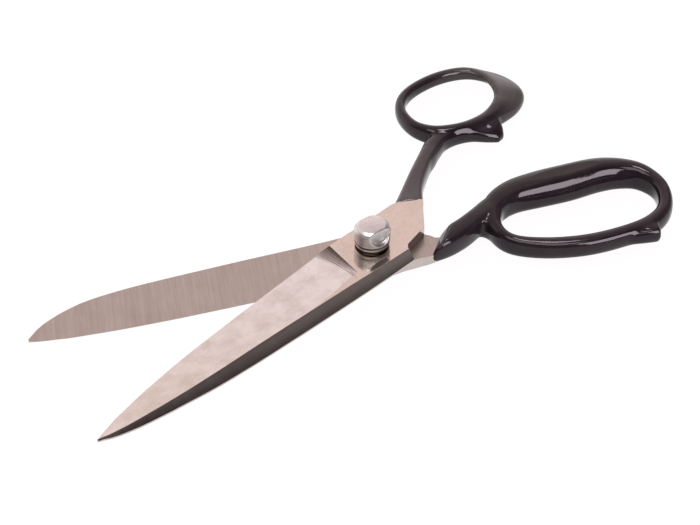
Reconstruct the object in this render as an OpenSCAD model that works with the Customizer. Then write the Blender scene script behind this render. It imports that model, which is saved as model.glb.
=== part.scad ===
// Tailor's fabric shears, lying on their side with the blades part open.
// The origin is on the pivot axis, at the underside of the lower half.
// +X runs along the lower blade to its tip, +Z up through the nut. Sizes are in millimetres.

/* [Blades] */
// Pivot axis to the sharp tip of the upper blade
upper_blade_len = 135; // [120:0.5:150]
// Pivot axis to the blunt tip of the lower blade
lower_blade_len = 132.8; // [118:0.1:148]
// Width of the pivot flat on the cutting side of the axis
edge_side_w = 10.8; // [8:0.1:13]
// Thickness of each half at the pivot
half_t = 4.6; // [3.5:0.1:6]
// Thickness left at a cutting edge
edge_t = 0.3; // [0.1:0.05:0.6]
// Angle between the blades as they lie
open_angle = 24.8; // [0:0.1:75]

/* [Pivot] */
// Diameter of the bolt's round shank
bolt_d = 7; // [5:0.1:9]
// Diameter of the countersunk bolt head
bolt_head_d = 12; // [10:0.1:15]
// Radial gap between the bolt and what turns on it
running_gap = 0.05; // [0.02:0.01:0.1]
// Height of the wave washer under the tight nut
wave_h = 1.1; // [0.6:0.1:1.6]
// Outer diameter of both washers
washer_d = 13.4; // [10:0.1:15]
// Thickness of the flat washer
washer_t = 1.3; // [0.8:0.1:1.6]
// Diameter of the nut
nut_d = 13.8; // [11:0.1:16]
// Height of the nut to the middle of its dome
nut_h = 7.5; // [5:0.1:9]
// Distance across the nut's two wrench flats
nut_flats = 9.8; // [8:0.1:12]
// Direction that the wrench flats face
nut_flat_angle = 106; // [0:1:180]

/* [Handles] */
// Thickness of the enamel over the handles
coat_t = 0.4; // [0.2:0.05:0.8]

/* [Hidden] */
$fn = 72;
// The inner faces only rub at the edges, so the halves stand this far apart.
face_gap = 0.02;
upper_z = half_t + face_gap;
bolt_r = bolt_d / 2;
wave_z = upper_z + half_t;
washer_z = wave_z + wave_h;
nut_z = washer_z + washer_t;
steel = [0.72, 0.68, 0.64];
enamel = [0.07, 0.06, 0.07];

// Ridge of the ground face, in the frame of one half: percent of the blade's length, distance out.
upper_ridge = [[-6, 12.1], [8, 11.15], [18, 10.45], [30, 9.75], [44, 9], [59, 8.25], [67, 7.6],
    [74, 6.7], [81.5, 5.6], [87.5, 4.5], [92, 3.5], [97, 1.75], [100, 0.3]];
// Spine of the upper blade: percent of the blade's length, distance out.
upper_spine = [[-6, 14.9], [8, 14.7], [30, 13.7], [52, 12.3], [67, 10.7], [81, 8.0],
    [89, 6.0], [96, 3.4], [100, 0.7]];
// Spine of the lower blade, which keeps its width and then rounds to a blunt tip.
lower_spine = [[-6, 12.4], [15, 12.7], [38, 13.8], [64, 14.5], [75, 14.1], [83, 12.8],
    [90, 9.9], [95, 6.6], [98, 3.6], [100, 0.7]];
// Cutting edges, which flare out in front of the pivot: percent of the blade's length, distance out.
upper_edge = [[-6, 14.0], [9, 13.85], [15, 13.35], [22, 12.75], [37, 11.6], [52, 10.25], [67, 8.6],
    [81.5, 6.1], [92, 3.5], [97.8, 1.35], [100, 0.3]];
lower_edge = [[-6, 13.0], [9, 12.8], [22, 11.5], [39, 10.0], [60, 8.15], [75.3, 6.25], [88.9, 3.9],
    [96.4, 1.95], [98.6, 1.1], [100, 0.3]];
// Height of the ridge over the inner face: percent of the blade's length, percent of full thickness.
ridge_rise = [[-6, 100], [48, 100], [59, 96], [67, 91], [74, 81], [81.5, 71], [87.5, 61], [92, 52],
    [97, 36], [100, 25]];

// Rows of the handle sweeps: [x, y, width, underside, top, outward droop, outward lean of the top].
// Heights are from the plane where the two halves meet.
finger_rows = [
    [-49.2, 5.3, 5.4, -4.6, 4.6, 0, 0],
    [-51.9, 14.4, 5.0, -4.6, 3.8, 0, 0],
    [-63, 20.9, 6.2, -4.6, 3.4, 0, 0],
    [-77.5, 25.0, 6.4, -4.6, 3.4, 0, 0],
    [-92, 25.8, 6.2, -4.6, 3.4, 0, 0],
    [-106, 24.2, 6.0, -4.6, 3.6, 0, 0],
    [-116.2, 18.2, 5.8, -4.6, 3.8, 0, 0],
    [-121, 6.7, 5.8, -4.6, 4.4, 0, 0.2],
    [-117.4, -3.6, 7.2, -4.6, 5.6, 0, 0.6],
    [-109.6, -8.4, 9.0, -4.6, 6.4, 0.4, 1.4],
    [-100, -10.2, 10.8, -4.6, 7.0, 0.6, 1.8],
    [-87.5, -10.0, 12.0, -4.6, 7.2, 0.6, 2.0],
    [-75, -10.4, 12.2, -4.6, 7.0, 0.6, 1.8],
    [-63, -9.9, 11.2, -4.6, 6.6, 0.4, 1.0],
    [-53.2, -5.2, 8.8, -4.6, 5.8, 0, 0.2]
];
finger_shank = [
    [-16, 5.2, 9.6, -4.6, 5.0, 0, 0],
    [-21, 5.6, 9.6, -4.6, 5.0, 0, 0],
    [-26, 5.4, 9.4, -4.6, 5.0, 0, 0],
    [-31, 4.4, 9.0, -4.6, 5.2, 0, 0],
    [-37, 2.3, 8.4, -4.6, 5.4, 0, 0],
    [-44.8, -1.7, 7.6, -4.6, 5.6, 0, 0],
    [-51, -4.6, 8.8, -4.6, 5.6, 0, 0],
    [-57.5, -7.6, 8.6, -4.6, 5.4, 0, 0]
];
finger_web = [
    [-40.5, 0.6, 4, -4.4, 4.8, 0, 0],
    [-44.6, 0.6, 4.4, -4.5, 4.6, 0, 0],
    [-47.2, 2.6, 4.4, -4.5, 4.2, 0, 0],
    [-49.0, 6.8, 4, -4.5, 4.0, 0, 0]
];
finger_stub = [
    [-92, 26.3, 3, -3.0, 1.0, 0, 0],
    [-98, 26.9, 5, -3.8, 2.2, 0, 0],
    [-104, 27.6, 6.4, -4.0, 2.8, 0, 0],
    [-108, 28.2, 6.6, -4.0, 2.8, 0, 0]
];
thumb_rows = [
    [-69.6, -41.5, 4.6, -3.6, 4.0, 0, 0],
    [-71.6, -32.6, 5.8, -3.8, 4.6, 0, 0],
    [-77.8, -27.3, 6.2, -4.0, 4.6, 0, 0],
    [-85.2, -24.3, 6.0, -4.2, 4.4, 0, 0],
    [-95, -23.2, 6.6, -4.2, 4.0, 0, 0],
    [-104, -23.9, 8.7, -4.0, 3.2, 1.4, 0],
    [-112.4, -26.5, 12.2, -3.0, 1.8, 2.4, 0],
    [-119.0, -32.0, 14.8, -2.6, 1.4, 2.6, 0],
    [-121.2, -39.8, 12.4, -2.6, 1.4, 2.2, 0],
    [-119.2, -47.0, 6.8, -2.8, 1.8, 0.8, 0],
    [-115.4, -53.0, 4.8, -3.0, 2.4, 0, 0],
    [-108, -57.6, 4.6, -3.2, 2.6, 0, 0],
    [-98.5, -60.0, 4.6, -3.2, 2.8, 0, 0],
    [-88, -60.2, 4.6, -3.2, 3.0, 0, 0],
    [-79.5, -57.6, 4.6, -3.4, 3.2, 0, 0],
    [-73, -51.4, 4.4, -3.6, 3.6, 0, 0]
];
thumb_shank = [
    [-18, -1.4, 13, -3.0, 5.0, 0, 0],
    [-24.5, -4.5, 12.3, -3.0, 5.0, 0, 0],
    [-29.6, -7.6, 11, -3.4, 5.0, 0, 0],
    [-37.6, -13.1, 8.1, -3.8, 5.0, 0, 0],
    [-46.8, -18.3, 7.0, -4.0, 4.9, 0, 0],
    [-57.4, -23.6, 6.6, -4.0, 4.3, 0, 0],
    [-66, -27.7, 6.8, -4.0, 3.5, 0, 0],
    [-73, -29.8, 5, -3.8, 2.8, 0, 0]
];
thumb_web = [
    [-52.5, -20.4, 5.2, -3.8, 4.2, 0, 0],
    [-57.5, -22.8, 6.6, -4.2, 4.1, 0, 0],
    [-63.2, -25.7, 7.4, -4.4, 3.8, 0, 0],
    [-70, -27.9, 7.6, -4.4, 3.6, 0, 0],
    [-77.8, -26.9, 7.2, -4.4, 3.6, 0, 0],
    [-85, -23.6, 8, -4.4, 3.2, 0, 0],
    [-89.6, -18.4, 7.4, -4.5, 1.4, 0, 0],
    [-92.6, -13.5, 3.6, -4.5, -1.1, 0, 0]
];
thumb_spur = [
    [-94.0, -25.0, 17, -4.2, 3.6, 0, 0],
    [-93.4, -20.5, 12, -4.4, 2.8, 0, 0],
    [-92.9, -16.0, 7.6, -4.5, 1.4, 0, 0],
    [-92.8, -13.2, 3.4, -4.5, -1.1, 0, 0]
];
// Outlines of the flats round the pivot, each in the frame of its own half and just inside its wall.
flat_inset = 0.15;
flat_w = edge_side_w - flat_inset;
upper_flat = [[11.8, -flat_w], [-22.3, -flat_w], [-30, -8.5], [-33.2, -4.0], [-26.9, 2.1],
    [-21.3, 7.6], [-9.3, 10.0], [-7, 12.0], [13, 11]];
lower_flat = [[11.8, -flat_w], [-3, -flat_w], [-9, -9.7], [-20, -9.5], [-28, -8.4],
    [-30, -1.6], [-26.2, -0.6], [-24.6, 1.4], [-22.4, 3.3], [-18, 8.6], [-9.3, 10.0], [-7, 12.0],
    [13, 11]];
// Where bare steel meets the paint: a line on the outer face, and the foot of the step inside.
outer_line_a = [-24.1, -10.1];
outer_line_b = [-33.4, -3.5];
lower_paint_a = [-19.4, -11];
step_foot_a = [-19.2, -11.8];
step_foot_b = [-28.4, -0.2];
step_slope = 0.7;
bar_len = 60;
bar_h = 14;
// Shape of the ground blades.
lower_ridge_share = 0.78;
lower_ridge = [for (key = lower_spine) [key[0], key[1] * lower_ridge_share]];
shoulder_x = 12.1;
hollow_run = 4;
hollow_power = 2.6;
hollow_steps = 6;
heel_run = 2.2;
heel_power = 1.5;
shoulder_lean = 2.7;
strip_w = 4.5;
strip_end = 42;
spine_t = 0.7;
strip_least = 0.15;
strip_power = 1.7;
lean_start = -6;
lean_run = 18;
lean_fade = 40;
heel_taper = 0.16;
heel_x = -7.6;
least_facet = 0.1;
blade_steps = 24;
tip_crowding = 1.35;
// Squareness of the handle sections: 2 is an ellipse, more is squarer.
bow_square = 2.8;
shank_square = 4;
peek = 0.05;
// Fineness of the handle surfaces, for the enamel and for the steel inside it.
skin_steps = 4;
skin_sides = 16;
core_steps = 3;
core_sides = 12;
// Bolt, washers and nut.
head_rim_h = 0.6;
head_cone_h = 2;
neck_short = 0.1;
seat_gap = 0.03;
bolt_tip = 0.6;
nut_gap = 0.05;
nut_bore_h = 5.2;
bolt_short = 0.3;
bolt_top = nut_z + nut_gap + nut_bore_h - bolt_short;
waves = 3;
wave_steps = 48;
wave_t = 0.4;
wave_slack = 0.05;
wave_inset = 0.2;
wave_inner_r = bolt_r + 0.5;
wave_outer_r = washer_d / 2 - wave_inset;
nut_rim = 0.5;
nut_side_h = 5.1;
nut_round = 1.7;
nut_dome = 0.7;
flat_mill_r = 4.9;
flat_mill_z = 5.9;

// Smooth curve through rows p1 and p2, with p0 and p3 setting the slopes.
function curve(p0, p1, p2, p3, t) =
    0.5 * (2 * p1 + (p2 - p0) * t + (2 * p0 - 5 * p1 + 4 * p2 - p3) * t * t
    + (3 * p1 - p0 - 3 * p2 + p3) * t * t * t);
// The row at place s of a closed or an open list of rows.
function row_at(rows, s, closed) =
    let (n = len(rows), i = closed ? floor(s) : min(max(floor(s), 0), n - 2), t = s - i)
    closed
        ? curve(rows[(i - 1 + n) % n], rows[(i + n) % n], rows[(i + 1) % n], rows[(i + 2) % n], t)
        : curve(rows[max(i - 1, 0)], rows[i], rows[i + 1], rows[min(i + 2, n - 1)], t);
// The last key at or before percent p, and the smooth value there.
function key_slot(keys, p, i = 0) =
    i >= len(keys) - 2 || p < keys[i + 1][0] ? i : key_slot(keys, p, i + 1);
function keyed(keys, p) =
    let (i = key_slot(keys, p), n = len(keys), t = (p - keys[i][0]) / (keys[i + 1][0] - keys[i][0]))
    curve(keys[max(i - 1, 0)], keys[i], keys[i + 1], keys[min(i + 2, n - 1)], t)[1];
// A power that keeps the sign of its base.
function signed_pow(v, p) = sign(v) * pow(abs(v), p);

// One cross-section of a handle sweep, standing across the path.
function section(row, along, grow, sides, square) =
    let (n = [along[1], -along[0]] / norm([along[0], along[1]]), wide = row[2] / 2 + grow,
        tall = (row[4] - row[3]) / 2 + grow, mid = (row[3] + row[4]) / 2, p = 2 / square)
    [for (i = [0:sides - 1])
        let (a = 360 * i / sides, u = signed_pow(cos(a), p), v = signed_pow(sin(a), p),
            out = wide * u + row[6] * v)
        [row[0] + n[0] * out, row[1] + n[1] * out, mid + tall * v - row[5] * u]];

// Skin over a list of equal rings of points, joined end to start or capped.
module skin(rings, closed) {
    n = len(rings);
    m = len(rings[0]);
    points = [for (ring = rings) for (p = ring) p];
    wall = [for (i = [0:n - (closed ? 1 : 2)]) for (j = [0:m - 1])
        let (a = i * m + j, b = i * m + (j + 1) % m, c = ((i + 1) % n) * m + (j + 1) % m,
            d = ((i + 1) % n) * m + j)
        each [[a, b, c], [a, c, d]]];
    caps = closed ? [] : [[for (j = [m - 1:-1:0]) j], [for (j = [0:m - 1]) (n - 1) * m + j]];
    polyhedron(points, concat(wall, caps));
}

// Sweep through handle rows, with each section grown or shrunk all round.
module swept(rows, closed, square, grow, steps, sides) {
    // The steel stops one station short of a bare end, so that the enamel closes over it.
    last = (closed ? len(rows) : len(rows) - 1) * steps - (grow < 0 && !closed ? 1 : 0);
    skin([for (i = [0:closed ? last - 1 : last])
        let (s = i / steps, row = row_at(rows, s, closed),
            ahead = row_at(rows, s + peek, closed), back = row_at(rows, s - peek, closed))
        section(row, [ahead[0] - back[0], ahead[1] - back[1]], grow, sides, square)], closed);
}

// Height of the blade above its cutting edge: full at the pivot, then hollowed down to the thin edge.
function edge_top(x) = x <= shoulder_x ? half_t
    : edge_t + (half_t - edge_t) * pow(max(0, 1 - (x - shoulder_x) / hollow_run), hollow_power);
// Distance out of the cutting side: the flat's at the pivot, then flaring out to the cutting edge.
function edge_out(x, len, edge) =
    let (s = min(1, max(0, (x - shoulder_x) / heel_run)), share = 1 - pow(1 - s, heel_power),
        flat = edge_side_w - heel_taper * max(0, -x))
    flat + (keyed(edge, 100 * x / len) - flat) * share;
// One station of a blade: cutting edge, start of the flat strip, ridge and spine.
function blade_ring(x, len, ridge, spine, edge) =
    let (p = 100 * x / len, rise = half_t * min(100, keyed(ridge_rise, p)) / 100, back = keyed(ridge, p),
        lean = shoulder_lean * max(0, min(1, (x - lean_start) / lean_run, (len - x) / lean_fade)),
        left = max(0, 1 - max(0, x - shoulder_x) / (strip_end - shoulder_x)),
        strip = strip_least + strip_w * pow(left, strip_power),
        cut = -edge_out(x, len, edge))
    [[x, cut, 0], [x, cut, min(edge_top(x), rise)],
        [x + lean, max(back - strip, cut + least_facet), rise], [x + lean, back, rise],
        [x, keyed(spine, p), spine_t], [x, keyed(spine, p), 0]];

// A ground blade with its shoulder, ridge and spine bevel, flat inner face at zero height.
module blade(len, ridge, spine, edge) {
    hollow_end = shoulder_x + hollow_run;
    stations = concat([heel_x, 2],
        [for (i = [0:hollow_steps]) shoulder_x + hollow_run * i / hollow_steps],
        [for (i = [1:blade_steps])
            hollow_end + (len - hollow_end) * (1 - pow(1 - i / blade_steps, tip_crowding))]);
    skin([for (x = stations) blade_ring(x, len, ridge, spine, edge)], false);
}

// A long bar of the given (distance towards the pivot, height) outline, lying along the line a to b.
module bar_along(a, b, outline) {
    across = [a[1] - b[1], b[0] - a[0]];
    facing = across * a > 0 ? -across : across;
    translate([(a[0] + b[0]) / 2, (a[1] + b[1]) / 2, 0])
    rotate([90, 0, atan2(facing[1], facing[0])])
    linear_extrude(bar_len, center = true)
    polygon(outline);
}

// What has to stay bare over the outer face, on the pivot side of the paint line.
module bare_outer(a) {
    bar_along(a, outer_line_b, [[0, 0], [bar_len, 0], [bar_len, bar_h], [0, bar_h]]);
}

// What has to stay clear below the inner face, up to the sloping step of the shank.
module bare_inner(back) {
    bar_along(step_foot_a, step_foot_b, [[-back, 0], [bar_len, 0], [bar_len, -bar_h],
        [-back - step_slope * bar_h, -bar_h]]);
}

// Blade and pivot flat of one half, inner face at zero height and outer face above it.
module half_blank(len, ridge, spine, edge, outline) {
    blade(len, ridge, spine, edge);
    linear_extrude(half_t)
    polygon(outline);
}

// Shank and bow of the half that holds the fingers, with the web in the crook between them.
module finger_handle(grow, steps, sides) {
    swept(finger_rows, true, bow_square, grow, steps, sides);
    swept(finger_shank, false, shank_square, grow, steps, sides);
    swept(finger_web, false, bow_square, grow, steps, sides);
}

// The steel inside that handle. It stops short of the step, so that the enamel covers the step too.
module finger_core() {
    difference() {
        finger_handle(-coat_t, core_steps, core_sides);
        rotate([180, 0, 0])
        bare_inner(coat_t);
    }
}

// Shank, ring, finger rest and spur of the half that holds the thumb, in its closed frame.
module thumb_handle(grow, steps, sides) {
    swept(thumb_rows, true, bow_square, grow, steps, sides);
    swept(thumb_shank, false, shank_square, grow, steps, sides);
    swept(thumb_web, false, bow_square, grow, steps, sides);
    swept(thumb_spur, false, bow_square, grow, steps, sides);
}

// The steel inside that handle, stopping short of the step in the same way.
module thumb_core() {
    difference() {
        thumb_handle(-coat_t, core_steps, core_sides);
        bare_inner(coat_t);
    }
}

// The bolt's head and square neck, grown all round by a gap when they are cut as a seat.
module bolt_foot(gap) {
    translate([0, 0, -gap])
    cylinder(h = head_rim_h + 2 * gap, r = bolt_head_d / 2 + gap);
    translate([0, 0, head_rim_h])
    cylinder(h = head_cone_h, r1 = bolt_head_d / 2 + gap, r2 = bolt_r + gap);
    translate([-bolt_r - gap, -bolt_r - gap, -gap])
    cube([bolt_d + 2 * gap, bolt_d + 2 * gap, half_t - neck_short + 2 * gap]);
}

module lower_steel() {
    color(steel)
    difference() {
        translate([0, 0, half_t])
        union() {
            rotate([180, 0, 0])
            half_blank(lower_blade_len, lower_ridge, lower_spine, lower_edge, lower_flat);
            finger_core();
        }
        bolt_foot(seat_gap);
        translate([0, 0, -1])
        cylinder(h = half_t + 2, r = bolt_r + seat_gap);
    }
}

module finger_enamel() {
    color(enamel)
    translate([0, 0, half_t])
    difference() {
        union() {
            finger_handle(0, skin_steps, skin_sides);
            swept(finger_stub, false, bow_square, 0, skin_steps, skin_sides);
        }
        finger_core();
        rotate([180, 0, 0]) {
            bare_inner(0);
            bare_outer(lower_paint_a);
            linear_extrude(half_t)
            polygon(lower_flat);
        }
    }
}

module upper_steel() {
    color(steel)
    translate([0, 0, upper_z])
    rotate([0, 0, open_angle])
    difference() {
        union() {
            half_blank(upper_blade_len, upper_ridge, upper_spine, upper_edge, upper_flat);
            thumb_core();
        }
        translate([0, 0, -1])
        cylinder(h = half_t + 2, r = bolt_r + running_gap);
    }
}

module thumb_enamel() {
    color(enamel)
    translate([0, 0, upper_z])
    rotate([0, 0, open_angle])
    difference() {
        thumb_handle(0, skin_steps, skin_sides);
        thumb_core();
        bare_inner(0);
        bare_outer(outer_line_a);
        linear_extrude(half_t)
        polygon(upper_flat);
    }
}

module bolt() {
    color("silver")
    union() {
        bolt_foot(0);
        cylinder(h = bolt_top - bolt_tip, r = bolt_r);
        translate([0, 0, bolt_top - bolt_tip])
        cylinder(h = bolt_tip, r1 = bolt_r, r2 = bolt_r - bolt_tip);
    }
}

// A ring of spring steel with three waves, standing on its troughs.
module wave_ring() {
    amp = (wave_h - wave_t) / 2 - wave_slack;
    color("silver")
    translate([0, 0, wave_z + wave_h / 2])
    skin([for (i = [0:wave_steps - 1])
        let (a = 360 * i / wave_steps, z = amp * cos(waves * a))
        [for (c = [[wave_inner_r, -1], [wave_outer_r, -1], [wave_outer_r, 1], [wave_inner_r, 1]])
            [c[0] * cos(a), c[0] * sin(a), z + c[1] * wave_t / 2]]], true);
}

module plain_washer() {
    color("silver")
    translate([0, 0, washer_z])
    difference() {
        cylinder(h = washer_t, r = washer_d / 2);
        translate([0, 0, -1])
        cylinder(h = washer_t + 2, r = bolt_r + 2 * running_gap);
    }
}

// Cap nut: rounded shoulder, low dome and two milled wrench flats that stop above the rim.
module cap_nut() {
    side = nut_d / 2;
    color("silver")
    translate([0, 0, nut_z + nut_gap])
    difference() {
        rotate_extrude()
        polygon(concat([[0, 0], [side - nut_rim, 0], [side, nut_rim]],
            [for (a = [0:15:75]) [side - nut_round * (1 - cos(a)), nut_side_h + nut_round * sin(a)]],
            [for (i = [0:4]) let (x = (side - nut_round) * (1 - i / 4))
                [x, nut_h - nut_dome * pow(x / side, 2)]]));
        translate([0, 0, -1])
        cylinder(h = nut_bore_h + 1, r = bolt_r + running_gap);
        for (turn = [nut_flat_angle, nut_flat_angle + 180])
            rotate([0, 0, turn])
            translate([nut_flats / 2, 0, 0]) {
                translate([0, 0, flat_mill_z])
                rotate([0, 90, 0])
                cylinder(h = side, r = flat_mill_r);
                translate([0, -flat_mill_r, flat_mill_z])
                cube([side, 2 * flat_mill_r, nut_h]);
            }
    }
}

lower_steel();  // lower_blade_steel
finger_enamel();  // finger_bow_enamel
upper_steel();  // upper_blade_steel
thumb_enamel();  // thumb_bow_enamel
bolt();  // pivot_bolt
wave_ring();  // wave_washer
plain_washer();  // flat_washer
cap_nut();  // pivot_nut
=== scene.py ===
"""Tailor's fabric shears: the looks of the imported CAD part, in Blender."""

import math

import bmesh
import bpy
import numpy as np
from mathutils import Matrix, Vector
from mathutils.bvhtree import BVHTree


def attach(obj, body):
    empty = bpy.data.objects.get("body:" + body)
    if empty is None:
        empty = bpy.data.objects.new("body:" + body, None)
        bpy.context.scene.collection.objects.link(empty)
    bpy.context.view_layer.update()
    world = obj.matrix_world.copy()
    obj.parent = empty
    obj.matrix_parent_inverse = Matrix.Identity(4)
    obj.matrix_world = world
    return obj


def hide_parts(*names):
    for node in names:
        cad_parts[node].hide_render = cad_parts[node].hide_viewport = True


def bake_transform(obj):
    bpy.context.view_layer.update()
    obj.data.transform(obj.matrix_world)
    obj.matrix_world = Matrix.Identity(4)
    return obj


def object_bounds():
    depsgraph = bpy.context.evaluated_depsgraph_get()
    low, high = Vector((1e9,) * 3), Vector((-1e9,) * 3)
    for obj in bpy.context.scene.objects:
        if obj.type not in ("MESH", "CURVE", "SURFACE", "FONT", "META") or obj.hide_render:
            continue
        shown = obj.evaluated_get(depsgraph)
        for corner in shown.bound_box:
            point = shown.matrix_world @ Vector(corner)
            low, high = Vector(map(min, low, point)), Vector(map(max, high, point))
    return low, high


MM = 0.001

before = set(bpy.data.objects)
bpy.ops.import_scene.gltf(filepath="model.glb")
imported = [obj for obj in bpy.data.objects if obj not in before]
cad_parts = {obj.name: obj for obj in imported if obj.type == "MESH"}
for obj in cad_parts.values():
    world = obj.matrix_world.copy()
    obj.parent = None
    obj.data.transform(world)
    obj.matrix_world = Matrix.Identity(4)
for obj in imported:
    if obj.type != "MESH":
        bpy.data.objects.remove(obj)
size_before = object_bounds()

# The two frames the halves are drawn in: inner face at height 0, cutting edge towards -Y.
HALF_THICKNESS = 4.6 * MM
INNER_GAP = 0.02 * MM
UPPER_TURN = math.radians(24.8)
UPPER_BASE = (0, 0, HALF_THICKNESS + INNER_GAP)
LOWER_FRAME = Matrix.Translation((0, 0, HALF_THICKNESS)) @ Matrix.Rotation(math.pi, 4, "X")
UPPER_FRAME = Matrix.Translation(UPPER_BASE) @ Matrix.Rotation(UPPER_TURN, 4, "Z")


# ---------------------------------------------------------------- meshes

WELD = 0.002 * MM
FLAT_WITHIN = math.radians(0.4)
SMOOTH_SHARE = 0.5
# A face of a coat lies on the steel when it is this near to it and this nearly parallel.
ON_STEEL = 0.01 * MM
PARALLEL = 0.9
COAT_VOXEL = 0.36 * MM
COAT_ROUNDS = 32
NUT_VOXEL = 0.15 * MM
NUT_ROUNDS = 20
SPRING_BEVEL = 0.05 * MM


def cad_mesh(node):
    """A welded copy of a CAD node's mesh."""
    bm = bmesh.new()
    bm.from_mesh(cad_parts[node].data)
    bmesh.ops.remove_doubles(bm, verts=bm.verts, dist=WELD)
    return bm


def new_piece(name, bm, node, body):
    """A mesh object that stands for a CAD node. It rides on its body, unless body is None."""
    mesh = bpy.data.meshes.new(name)
    bm.to_mesh(mesh)
    bm.free()
    obj = bpy.data.objects.new(name, mesh)
    bpy.context.scene.collection.objects.link(obj)
    if body:
        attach(obj, body)
    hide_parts(node)
    return obj


def applied(obj):
    """Turns an object's modifiers into its mesh."""
    bpy.context.view_layer.update()
    graph = bpy.context.evaluated_depsgraph_get()
    mesh = bpy.data.meshes.new_from_object(obj.evaluated_get(graph))
    obj.modifiers.clear()
    obj.data = mesh


def voxelled(obj, size):
    """Rebuilds an object's mesh from voxels."""
    mod = obj.modifiers.new("voxels", "REMESH")
    mod.mode = "VOXEL"
    mod.voxel_size = size
    applied(obj)


def coords(mesh):
    co = np.empty(len(mesh.vertices) * 3)
    mesh.vertices.foreach_get("co", co)
    return co.reshape(-1, 3)


def set_coords(mesh, co):
    mesh.vertices.foreach_set("co", co.astype(np.float32).ravel())
    mesh.update()


def smoothed(obj, rounds):
    """Moves each vertex towards the middle of its neighbours, several times."""
    mesh = obj.data
    edges = np.empty(len(mesh.edges) * 2, np.int64)
    mesh.edges.foreach_get("vertices", edges)
    a, b = edges.reshape(-1, 2).T
    co = coords(mesh)
    count = np.bincount(a, minlength=len(co)) + np.bincount(b, minlength=len(co))
    for _ in range(rounds):
        total = np.zeros_like(co)
        np.add.at(total, a, co[b])
        np.add.at(total, b, co[a])
        co += SMOOTH_SHARE * (total / np.maximum(count, 1)[:, None] - co)
    set_coords(mesh, co)


def swollen(obj, by, low, high):
    """Pushes each vertex outwards, inside a box, to make up for what smoothing wore away."""
    normals = np.empty(len(obj.data.vertices) * 3, np.float32)
    obj.data.vertex_normals.foreach_get("vector", normals)
    co = coords(obj.data) + by * normals.reshape(-1, 3)
    set_coords(obj.data, np.clip(co, low, high))


def smooth_shaded(obj):
    obj.data.polygons.foreach_set("use_smooth", [True] * len(obj.data.polygons))


def fan_filled(bm):
    """Closes each open loop with a fan of triangles to its middle."""
    left = {e for e in bm.edges if e.is_boundary}
    while left:
        loop = [left.pop()]
        grown = True
        while grown:
            grown = [e for v in loop[-1].verts for e in v.link_edges if e in left]
            if grown:
                loop.append(grown[0])
                left.discard(grown[0])
        rim = {v for e in loop for v in e.verts}
        middle = bm.verts.new(sum((v.co for v in rim), Vector()) / len(rim))
        for e in loop:
            bm.faces.new((e.verts[0], e.verts[1], middle))


def faces_on(bm, core):
    """The faces of bm that lie on the CAD node named core."""
    steel_mesh = cad_mesh(core)
    tree = BVHTree.FromBMesh(steel_mesh)
    found = []
    for face in bm.faces:
        _, normal, _, gap = tree.find_nearest(face.calc_center_median())
        if gap < ON_STEEL and abs(normal.dot(face.normal)) > PARALLEL:
            found.append(face)
    steel_mesh.free()
    return found


def enamel_piece(name, node, core, body, swell):
    """The coat's outer face as one solid with soft edges.

    The CAD coat's inner face lies on the steel and is dropped. swell is how far the coat grows after it is
    smoothed.
    """
    bm = cad_mesh(node)
    bmesh.ops.delete(bm, geom=faces_on(bm, core), context="FACES")
    loose = [v for v in bm.verts if not v.link_faces]
    bmesh.ops.delete(bm, geom=loose, context="VERTS")
    fan_filled(bm)
    bmesh.ops.recalc_face_normals(bm, faces=bm.faces)
    obj = new_piece(name, bm, node, body)
    voxelled(obj, COAT_VOXEL)
    co = coords(obj.data)
    smoothed(obj, COAT_ROUNDS)
    swollen(obj, swell, co.min(axis=0), co.max(axis=0))
    smooth_shaded(obj)
    return obj


def crisp_piece(name, node, body, bevel, angle=18, crease=30):
    """A copy of a CAD node with its edges just broken.

    Edges sharper than angle degrees are bevelled, and those sharper than crease degrees stay sharp in the
    shading.
    """
    bm = cad_mesh(node)
    bmesh.ops.dissolve_limit(bm, angle_limit=FLAT_WITHIN, verts=bm.verts, edges=bm.edges)
    obj = new_piece(name, bm, node, body)
    mod = obj.modifiers.new("broken edges", "BEVEL")
    mod.width = bevel
    mod.segments = 2
    mod.limit_method = "ANGLE"
    mod.angle_limit = math.radians(angle)
    mod.use_clamp_overlap = False
    applied(obj)
    smooth_shaded(obj)
    obj.data.set_sharp_from_angle(angle=math.radians(crease))
    mod = obj.modifiers.new("normals", "WEIGHTED_NORMAL")
    mod.weight = 80
    mod.keep_sharp = True
    return obj


def nut_piece():
    """The cap nut with its edges worn round."""
    obj = new_piece("cap_nut", cad_mesh("pivot_nut"), "pivot_nut", "nut")
    voxelled(obj, NUT_VOXEL)
    smoothed(obj, NUT_ROUNDS)
    smooth_shaded(obj)
    return obj


def spring_piece():
    """The wave washer, put on no body. The real one stretches as the plain washer above it rises with the
    nut.
    """
    obj = crisp_piece("spring_washer", "wave_washer", None, SPRING_BEVEL, angle=40)
    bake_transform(obj)
    return obj


# ---------------------------------------------------------------- materials

# Where the shoulder of the upper blade runs, in millimetres in the half's frame: X at each of two Y, and how
# wide the hollow in front of it is there.
SHOULDER_Y = (-12.0, 6.4)
SHOULDER_X = (12.0, 14.7)
HOLLOW_WIDTH = (5.5, 1.4)
HOLLOW_POWER = 0.7
# The stretch of the blade, in millimetres from the pivot, over which its tint changes to that of the tip.
TIP_FADE = (10, 120)

# Noise scales, per millimetre, and how deep the relief of each kind is.
CLOUD_SCALE = 0.13
SPECK_SCALE = 1.3
WAVE_SCALE = 0.12
PEEL_SCALE = 0.9
DUST_SCALE = 6.0
GRAIN_RELIEF = 0.02 * MM
WAVE_RELIEF = 0.25 * MM
PEEL_RELIEF = 0.05 * MM

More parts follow.
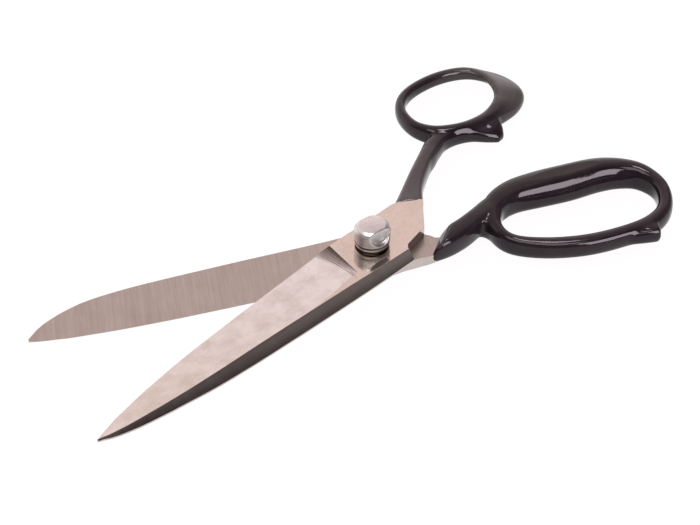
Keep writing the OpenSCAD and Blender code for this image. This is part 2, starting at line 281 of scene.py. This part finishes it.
STAIN = (0.32, 0.25, 0.19)
STREAK = (0.1, 0.07, 0.05)
SPECK = (0.12, 0.11, 0.11)
SHOULDER_SHADE = (0.10, 0.06, 0.05)
# Painted shade over the lower heights of a bevel, darkest low down: its colour and how strongly it is mixed
# in.
LOW_SHADE_COLOUR = (0.10, 0.07, 0.08)
LOW_SHADE_STRENGTH = 0.75
ENAMEL_TONES = ((0.008, 0.005, 0.007), (0.014, 0.010, 0.012))
ENAMEL_GLOSS = (1, 0.9, 0.95, 1)
# Painted sheen on the thumb half's coat: greyer stretches along the shank and at the flare that stand in for
# its reflection. X where each starts and where it is full, in millimetres in the half's frame, and its tone.
SHEEN_STRETCHES = (((-68, -24), (0.064, 0.052, 0.056)), ((-98, -116), (0.04, 0.033, 0.033)))


class Tree:
    """Small helper for building the nodes of a material or a world."""

    def __init__(self, owner, shader="Principled BSDF"):
        self.owner = owner
        owner.use_nodes = True
        self.nodes = owner.node_tree.nodes
        self.links = owner.node_tree.links
        self.shader = self.nodes[shader]

    def node(self, kind, inputs=None, **settings):
        made = self.nodes.new(kind)
        for key, value in settings.items():
            setattr(made, key, value)
        for key, value in (inputs or {}).items():
            self.put(made.inputs[key], value)
        return made

    def put(self, socket, value):
        if isinstance(value, bpy.types.NodeSocket):
            self.links.new(value, socket)
        else:
            socket.default_value = value

    def set(self, **values):
        for key, value in values.items():
            self.put(self.shader.inputs[key.replace("_", " ")], value)

    def coords(self, turn=0.0, scale=(1, 1, 1)):
        """The object's own coordinates in millimetres, turned about Z and then scaled."""
        place = self.node("ShaderNodeTexCoord").outputs["Object"]
        to_mm = {"Vector": place, "Rotation": (0, 0, turn), "Scale": (1 / MM,) * 3}
        turned = self.node("ShaderNodeMapping", to_mm).outputs[0]
        return self.node("ShaderNodeMapping", {"Vector": turned, "Scale": scale}).outputs[0]

    def split(self, vector):
        return self.node("ShaderNodeSeparateXYZ", {"Vector": vector}).outputs

    def shoulder(self, place):
        """1 at the foot of the shoulder, fading to 0 over the hollow, which closes towards the spine."""
        x, y, _ = self.split(place)
        line = self.span(y, *SHOULDER_Y, *SHOULDER_X)
        width = self.span(y, *SHOULDER_Y, *HOLLOW_WIDTH)
        past = self.math("DIVIDE", self.math("SUBTRACT", x, line), width)
        return self.math("POWER", self.span(past, 0, 1, 1, 0), HOLLOW_POWER)

    def noise(self, vector, scale=1.0, detail=3.0, rough=0.5):
        inputs = {"Vector": vector, "Scale": scale, "Detail": detail, "Roughness": rough}
        return self.node("ShaderNodeTexNoise", inputs).outputs["Fac"]

    def span(self, value, low, high, start=0.0, end=1.0, kind="LINEAR"):
        """Maps a value from low..high to start..end."""
        inputs = {"Value": value, "From Min": low, "From Max": high, "To Min": start, "To Max": end}
        return self.node("ShaderNodeMapRange", inputs, interpolation_type=kind).outputs[0]

    def ramp(self, value, stops):
        made = self.node("ShaderNodeValToRGB", {"Fac": value})
        bar = made.color_ramp
        while len(bar.elements) < len(stops):
            bar.elements.new(0.5)
        for element, (place, colour) in zip(bar.elements, stops):
            element.position = place
            element.color = (*colour, 1)
        return made.outputs[0]

    def mix(self, share, a, b):
        made = self.node("ShaderNodeMix", data_type="RGBA", clamp_factor=True)
        self.put(made.inputs[0], share)
        self.put(made.inputs[6], a if isinstance(a, bpy.types.NodeSocket) else (*a, 1))
        self.put(made.inputs[7], (*b, 1))
        return made.outputs[2]

    def math(self, kind, a, b):
        made = self.node("ShaderNodeMath", operation=kind)
        self.put(made.inputs[0], a)
        self.put(made.inputs[1], b)
        return made.outputs[0]

    def along(self, vector, direction):
        made = self.node("ShaderNodeVectorMath", operation="DOT_PRODUCT")
        self.put(made.inputs[0], vector)
        self.put(made.inputs[1], direction)
        return made.outputs["Value"]

    def bump(self, height, strength, distance, under=None):
        inputs = {"Height": height, "Strength": strength, "Distance": distance}
        if under is not None:
            inputs["Normal"] = under
        return self.node("ShaderNodeBump", inputs).outputs[0]


def steel(name, tint, rough, grain, relief, turn=0.0, mottling=0.12, tip_tint=None, bands=None,
          specks=0.0, shoulder=False, low_shade_heights=None):
    """Ground steel.

    grain and bands are noise scales along X and Y once they are turned by turn. relief is how strongly the
    grain stands out. mottling and specks are the strengths of cloudy stains and of fine dots. tip_tint is
    the tint far out on the blade, shoulder adds the painted shade in its hollow, and the last argument gives
    the heights, in millimetres, between which a painted shade, darkest at the lower height, fades out.
    """
    t = Tree(bpy.data.materials.new(name))
    place = t.coords(turn)
    fine = t.noise(t.coords(turn, (*grain, 1)), 1.0, 4, 0.6)
    clouds = t.noise(place, CLOUD_SCALE, 6, 0.62)
    base = tint
    if tip_tint:
        base = t.mix(t.span(t.split(place)[0], *TIP_FADE), base, tip_tint)
    base = t.mix(t.span(clouds, 0.36, 0.6, mottling, 0), base, STAIN)
    base = t.mix(t.span(fine, 0.3, 0.7, 0, 0.14), base, (0, 0, 0))
    if bands:
        wide = t.noise(t.coords(turn, (*bands, 1)), 1.0, 3, 0.6)
        base = t.mix(t.span(wide, 0.35, 0.65, 0, 0.11), base, STREAK)
    if specks:
        dots = t.noise(place, SPECK_SCALE, 2, 0.5)
        base = t.mix(t.span(dots, 0.62, 0.7, 0, specks), base, SPECK)
    if shoulder:
        base = t.mix(t.shoulder(place), base, SHOULDER_SHADE)
    # Painted shade that darkens the lower heights.
    if low_shade_heights:
        base = t.mix(t.span(t.split(place)[2], *low_shade_heights, LOW_SHADE_STRENGTH, 0), base, LOW_SHADE_COLOUR)
    t.set(Base_Color=base, Metallic=1.0, Roughness=t.span(fine, 0.25, 0.75, rough - 0.05, rough + 0.06),
          Normal=t.bump(fine, relief, GRAIN_RELIEF))
    return t.owner


def enamel(name, sheen_stretches=()):
    """Thick dipped enamel. The stretches given are greyer stretches along the upper half, with their tones:
    painted sheen.
    """
    t = Tree(bpy.data.materials.new(name))
    place = t.coords()
    waves = t.noise(place, WAVE_SCALE, 2, 0.5)
    peel = t.noise(place, PEEL_SCALE, 2, 0.5)
    dust = t.noise(place, DUST_SCALE, 2, 0.5)
    base = t.mix(t.span(waves, 0.3, 0.7), *ENAMEL_TONES)
    # Painted sheen: each stretch greys the coat towards its tone.
    for stretch, tone in sheen_stretches:
        x = t.split(t.coords(-UPPER_TURN))[0]
        base = t.mix(t.span(x, *stretch), base, tone)
    rolling = t.bump(waves, 0.4, WAVE_RELIEF)
    t.set(Base_Color=base, Roughness=t.span(dust, 0.3, 0.7, 0.06, 0.12), IOR=1.45, Specular_IOR_Level=0.36,
          Specular_Tint=ENAMEL_GLOSS, Normal=t.bump(peel, 0.05, PEEL_RELIEF, rolling))
    return t.owner


# The inner faces are ground across the blade.
CROSS_TURN = math.radians(11)

polished = steel("polished_steel", (0.70, 0.62, 0.57), 0.12, (0.5, 2.5), 0.006, -UPPER_TURN)
satin = steel("satin_ground_steel", (0.72, 0.67, 0.66), 0.32, (2.0, 2.0), 0.12, -UPPER_TURN, mottling=0.3,
              tip_tint=(0.62, 0.54, 0.50), shoulder=True)
# Painted shade on the bevel: its tint darkens from the pivot towards the tip, and it darkens again over its
# lower heights.
bevel_steel = steel("bevel_ground_steel", (1.0, 0.88, 0.84), 0.36, (0.2, 2.5), 0.12, -UPPER_TURN,
                    tip_tint=(0.56, 0.45, 0.44), bands=(0.012, 0.8), low_shade_heights=(5.0, 8.0))
inner_steel = steel("cross_ground_steel", (0.50, 0.44, 0.41), 0.38, (2.2, 0.06), 0.2, CROSS_TURN,
                    bands=(0.42, 0.012))
wall_steel = steel("milled_steel", (0.60, 0.54, 0.51), 0.20, (2.5, 2.5), 0.1)
nickel = steel("satin_nickel", (0.73, 0.69, 0.68), 0.40, (0.4, 0.4), 0.0, specks=0.3)
# Blued steel for the wave washer, and painted shade on the plain washer's upper face.
blued_and_shade = steel("blued_steel_and_painted_shade", (0.16, 0.14, 0.13), 0.30, (2.0, 2.0), 0.1)
plain = steel("washer_steel", (0.80, 0.70, 0.64), 0.35, (2.0, 2.0), 0.1)
finger_enamel = enamel("black_enamel")
thumb_enamel = enamel("painted_sheen_enamel", SHEEN_STRETCHES)

BLADE_FINISHES = (polished, satin, bevel_steel, inner_steel, wall_steel)
# The faces of the shoulder lie in this box, and the facet starts past this X, in millimetres in the half's
# frame.
SHOULDER_FACES_X = (11, 20)
SHOULDER_FACES_Y = 8
FACET_X = 10


def blade_finish(n, c):
    """The finish of a blade's face with normal n and centre c, in millimetres, in the half's own frame."""
    low, high = SHOULDER_FACES_X
    if n.z < -0.9:
        return inner_steel
    if n.x > 0.15 and low < c.x < high and c.y < SHOULDER_FACES_Y:
        return satin
    if n.z > 0.995:
        return polished
    if n.z > 0.5 and n.y < 0 and c.x > FACET_X:
        return satin
    if n.z > 0.2 and n.y > 0.1:
        return bevel_steel
    return wall_steel


def finished_blade(obj, half):
    """Gives each face of a blade its finish. half is the frame of its half."""
    for material in BLADE_FINISHES:
        obj.data.materials.append(material)
    back = half.inverted()
    turn = back.to_3x3()
    for face in obj.data.polygons:
        finish = blade_finish(turn @ face.normal, back @ face.center / MM)
        face.material_index = BLADE_FINISHES.index(finish)


def finished_washer(obj):
    """Plain steel, with its upper face, which lies under the nut, in the dark blued steel: painted shade
    that shows as the thin line under the nut.
    """
    obj.data.materials.append(plain)
    obj.data.materials.append(blued_and_shade)
    for face in obj.data.polygons:
        face.material_index = int(face.normal.z > 0.3)


# ---------------------------------------------------------------- pieces

# How far each coat grows after it is smoothed. The thumb coat grows less, so that its spur clears the finger
# bow when the shears are closed.
FINGER_SWELL = 0.32 * MM
THUMB_SWELL = 0.10 * MM
BLADE_BEVEL = 0.06 * MM
BLADE_CREASE = 7
WASHER_BEVEL = 0.28 * MM
BOLT_BEVEL = 0.15 * MM

finger_coat = enamel_piece("finger_bow_coat", "finger_bow_enamel", "lower_blade_steel", "lower_half",
                           FINGER_SWELL)
thumb_coat = enamel_piece("thumb_ring_coat", "thumb_bow_enamel", "upper_blade_steel", "upper_half",
                          THUMB_SWELL)
lower_blade = crisp_piece("lower_blade", "lower_blade_steel", "lower_half", BLADE_BEVEL,
                          crease=BLADE_CREASE)
upper_blade = crisp_piece("upper_blade", "upper_blade_steel", "upper_half", BLADE_BEVEL,
                          crease=BLADE_CREASE)
nut = nut_piece()
spring = spring_piece()
washer = crisp_piece("plain_washer", "flat_washer", "washer", WASHER_BEVEL)
bolt = crisp_piece("bolt", "pivot_bolt", "lower_half", BOLT_BEVEL)

finger_coat.data.materials.append(finger_enamel)
thumb_coat.data.materials.append(thumb_enamel)
finished_blade(lower_blade, LOWER_FRAME)
finished_blade(upper_blade, UPPER_FRAME)
nut.data.materials.append(nickel)
spring.data.materials.append(blued_and_shade)
finished_washer(washer)
bolt.data.materials.append(plain)

# ---------------------------------------------------------------- floor, light and camera

CAMERA_TURN = math.radians(68.5655)
TO_CAMERA = Vector((math.cos(CAMERA_TURN), math.sin(CAMERA_TURN), 0))
TO_RIGHT = Vector((-math.sin(CAMERA_TURN), math.cos(CAMERA_TURN), 0))
ELEVATION = math.radians(41)
AIM = Vector((9.81, 2.19, 4.6)) * MM
DISTANCE = 633.96 * MM
LENS = 86.25
SENSOR = 36
CLIP = (0.01, 20)

FLOOR_SIZE = 4
FLOOR_GAP = 0.02 * MM
FLOOR_COLOUR = (0.16, 0.16, 0.16, 1)
FLOOR_GLOW = (1, 0.98, 0.99, 1)
FLOOR_STRENGTH = 0.98

# The sky's colour by height, from straight below to straight above.
SKY = [
    (0.0, (1.0, 0.95, 0.96)),
    (0.35, (0.86, 0.79, 0.79)),
    (0.5, (0.72, 0.63, 0.62)),
    (0.66, (0.66, 0.55, 0.53)),
    (0.85, (0.46, 0.38, 0.39)),
    (1.0, (0.40, 0.34, 0.36)),
]
# How the sky fades to the right, and towards the camera: where from and to, and the strengths there.
RIGHT_FADE = (0.25, 0.6, 1.6, 0.36)
NEAR_FADE = (-0.25, 0.2, 1.0, 0.12)

ENAMEL_PIECES = (finger_coat, thumb_coat)
STEEL_PIECES = (lower_blade, upper_blade, spring, washer, bolt)
LAMP_DISTANCE = 2.5
# Each lamp's name, tilt from overhead and swing to the camera's left in degrees, size in metres, watts, and
# the pieces that it falls on.
LAMPS = [
    ("right_front", 62, -46, (1.15, 1.6), 60, ENAMEL_PIECES),
    ("overhead", 22, 14, (2.4, 1.4), 44, (*ENAMEL_PIECES, nut)),
    ("overhead_fill", 22, 14, (2.8, 2.6), 26, STEEL_PIECES),
    ("glint", 15, -152, (0.6, 0.6), 13, ENAMEL_PIECES),
]


def placed(name, data, place, facing):
    """Adds a lamp or camera that looks along facing."""
    obj = bpy.data.objects.new(name, data)
    obj.location = place
    obj.rotation_mode = "QUATERNION"
    obj.rotation_quaternion = facing.to_track_quat("-Z", "Y")
    bpy.context.scene.collection.objects.link(obj)
    return obj


def floor():
    """A white floor that glows evenly, so that it shows almost no shadow."""
    bm = bmesh.new()
    bmesh.ops.create_grid(bm, x_segments=1, y_segments=1, size=FLOOR_SIZE)
    mesh = bpy.data.meshes.new("floor")
    bm.to_mesh(mesh)
    bm.free()
    obj = bpy.data.objects.new("floor", mesh)
    obj.location = (0, 0, size_before[0].z - FLOOR_GAP)
    bpy.context.scene.collection.objects.link(obj)
    t = Tree(bpy.data.materials.new("white_floor"))
    t.set(Base_Color=FLOOR_COLOUR, Roughness=0.9, Specular_IOR_Level=0.0, Emission_Color=FLOOR_GLOW,
          Emission_Strength=FLOOR_STRENGTH)
    obj.data.materials.append(t.owner)


def surroundings():
    """A studio by direction: warm and light beyond the shears, dark on the right and behind the camera."""
    world = bpy.data.worlds.new("studio")
    bpy.context.scene.world = world
    t = Tree(world, "Background")
    look = t.node("ShaderNodeTexCoord").outputs["Generated"]
    sky = t.ramp(t.along(look, (0, 0, 1)), SKY)
    right = t.span(t.along(look, TO_RIGHT), *RIGHT_FADE, "SMOOTHSTEP")
    near = t.span(t.along(look, TO_CAMERA), *NEAR_FADE, "SMOOTHSTEP")
    t.set(Color=sky, Strength=t.math("MULTIPLY", right, near))


def softbox(name, tilt, swing, size, watts, lit_pieces):
    """A soft rectangular lamp aimed at the shears, which falls on some of the pieces only."""
    tilt, swing = math.radians(tilt), math.radians(swing)
    flat = TO_CAMERA * math.cos(swing) - TO_RIGHT * math.sin(swing)
    place = AIM + (flat * math.sin(tilt) + Vector((0, 0, math.cos(tilt)))) * LAMP_DISTANCE
    light = bpy.data.lights.new(name, "AREA")
    light.shape = "RECTANGLE"
    light.size, light.size_y = size
    light.energy = watts
    lit = bpy.data.collections.new(name + "_lights")
    for piece in lit_pieces:
        lit.objects.link(piece)
    placed(name, light, place, AIM - place).light_linking.receiver_collection = lit


def camera():
    """A long lens that looks down at the open shears."""
    data = bpy.data.cameras.new("camera")
    data.lens = LENS
    data.sensor_width = SENSOR
    data.clip_start, data.clip_end = CLIP
    away = TO_CAMERA * math.cos(ELEVATION) + Vector((0, 0, math.sin(ELEVATION)))
    bpy.context.scene.camera = placed("camera", data, AIM + away * DISTANCE, -away)


floor()
surroundings()
for lamp in LAMPS:
    softbox(*lamp)
camera()
bpy.context.scene.view_settings.view_transform = "Standard"
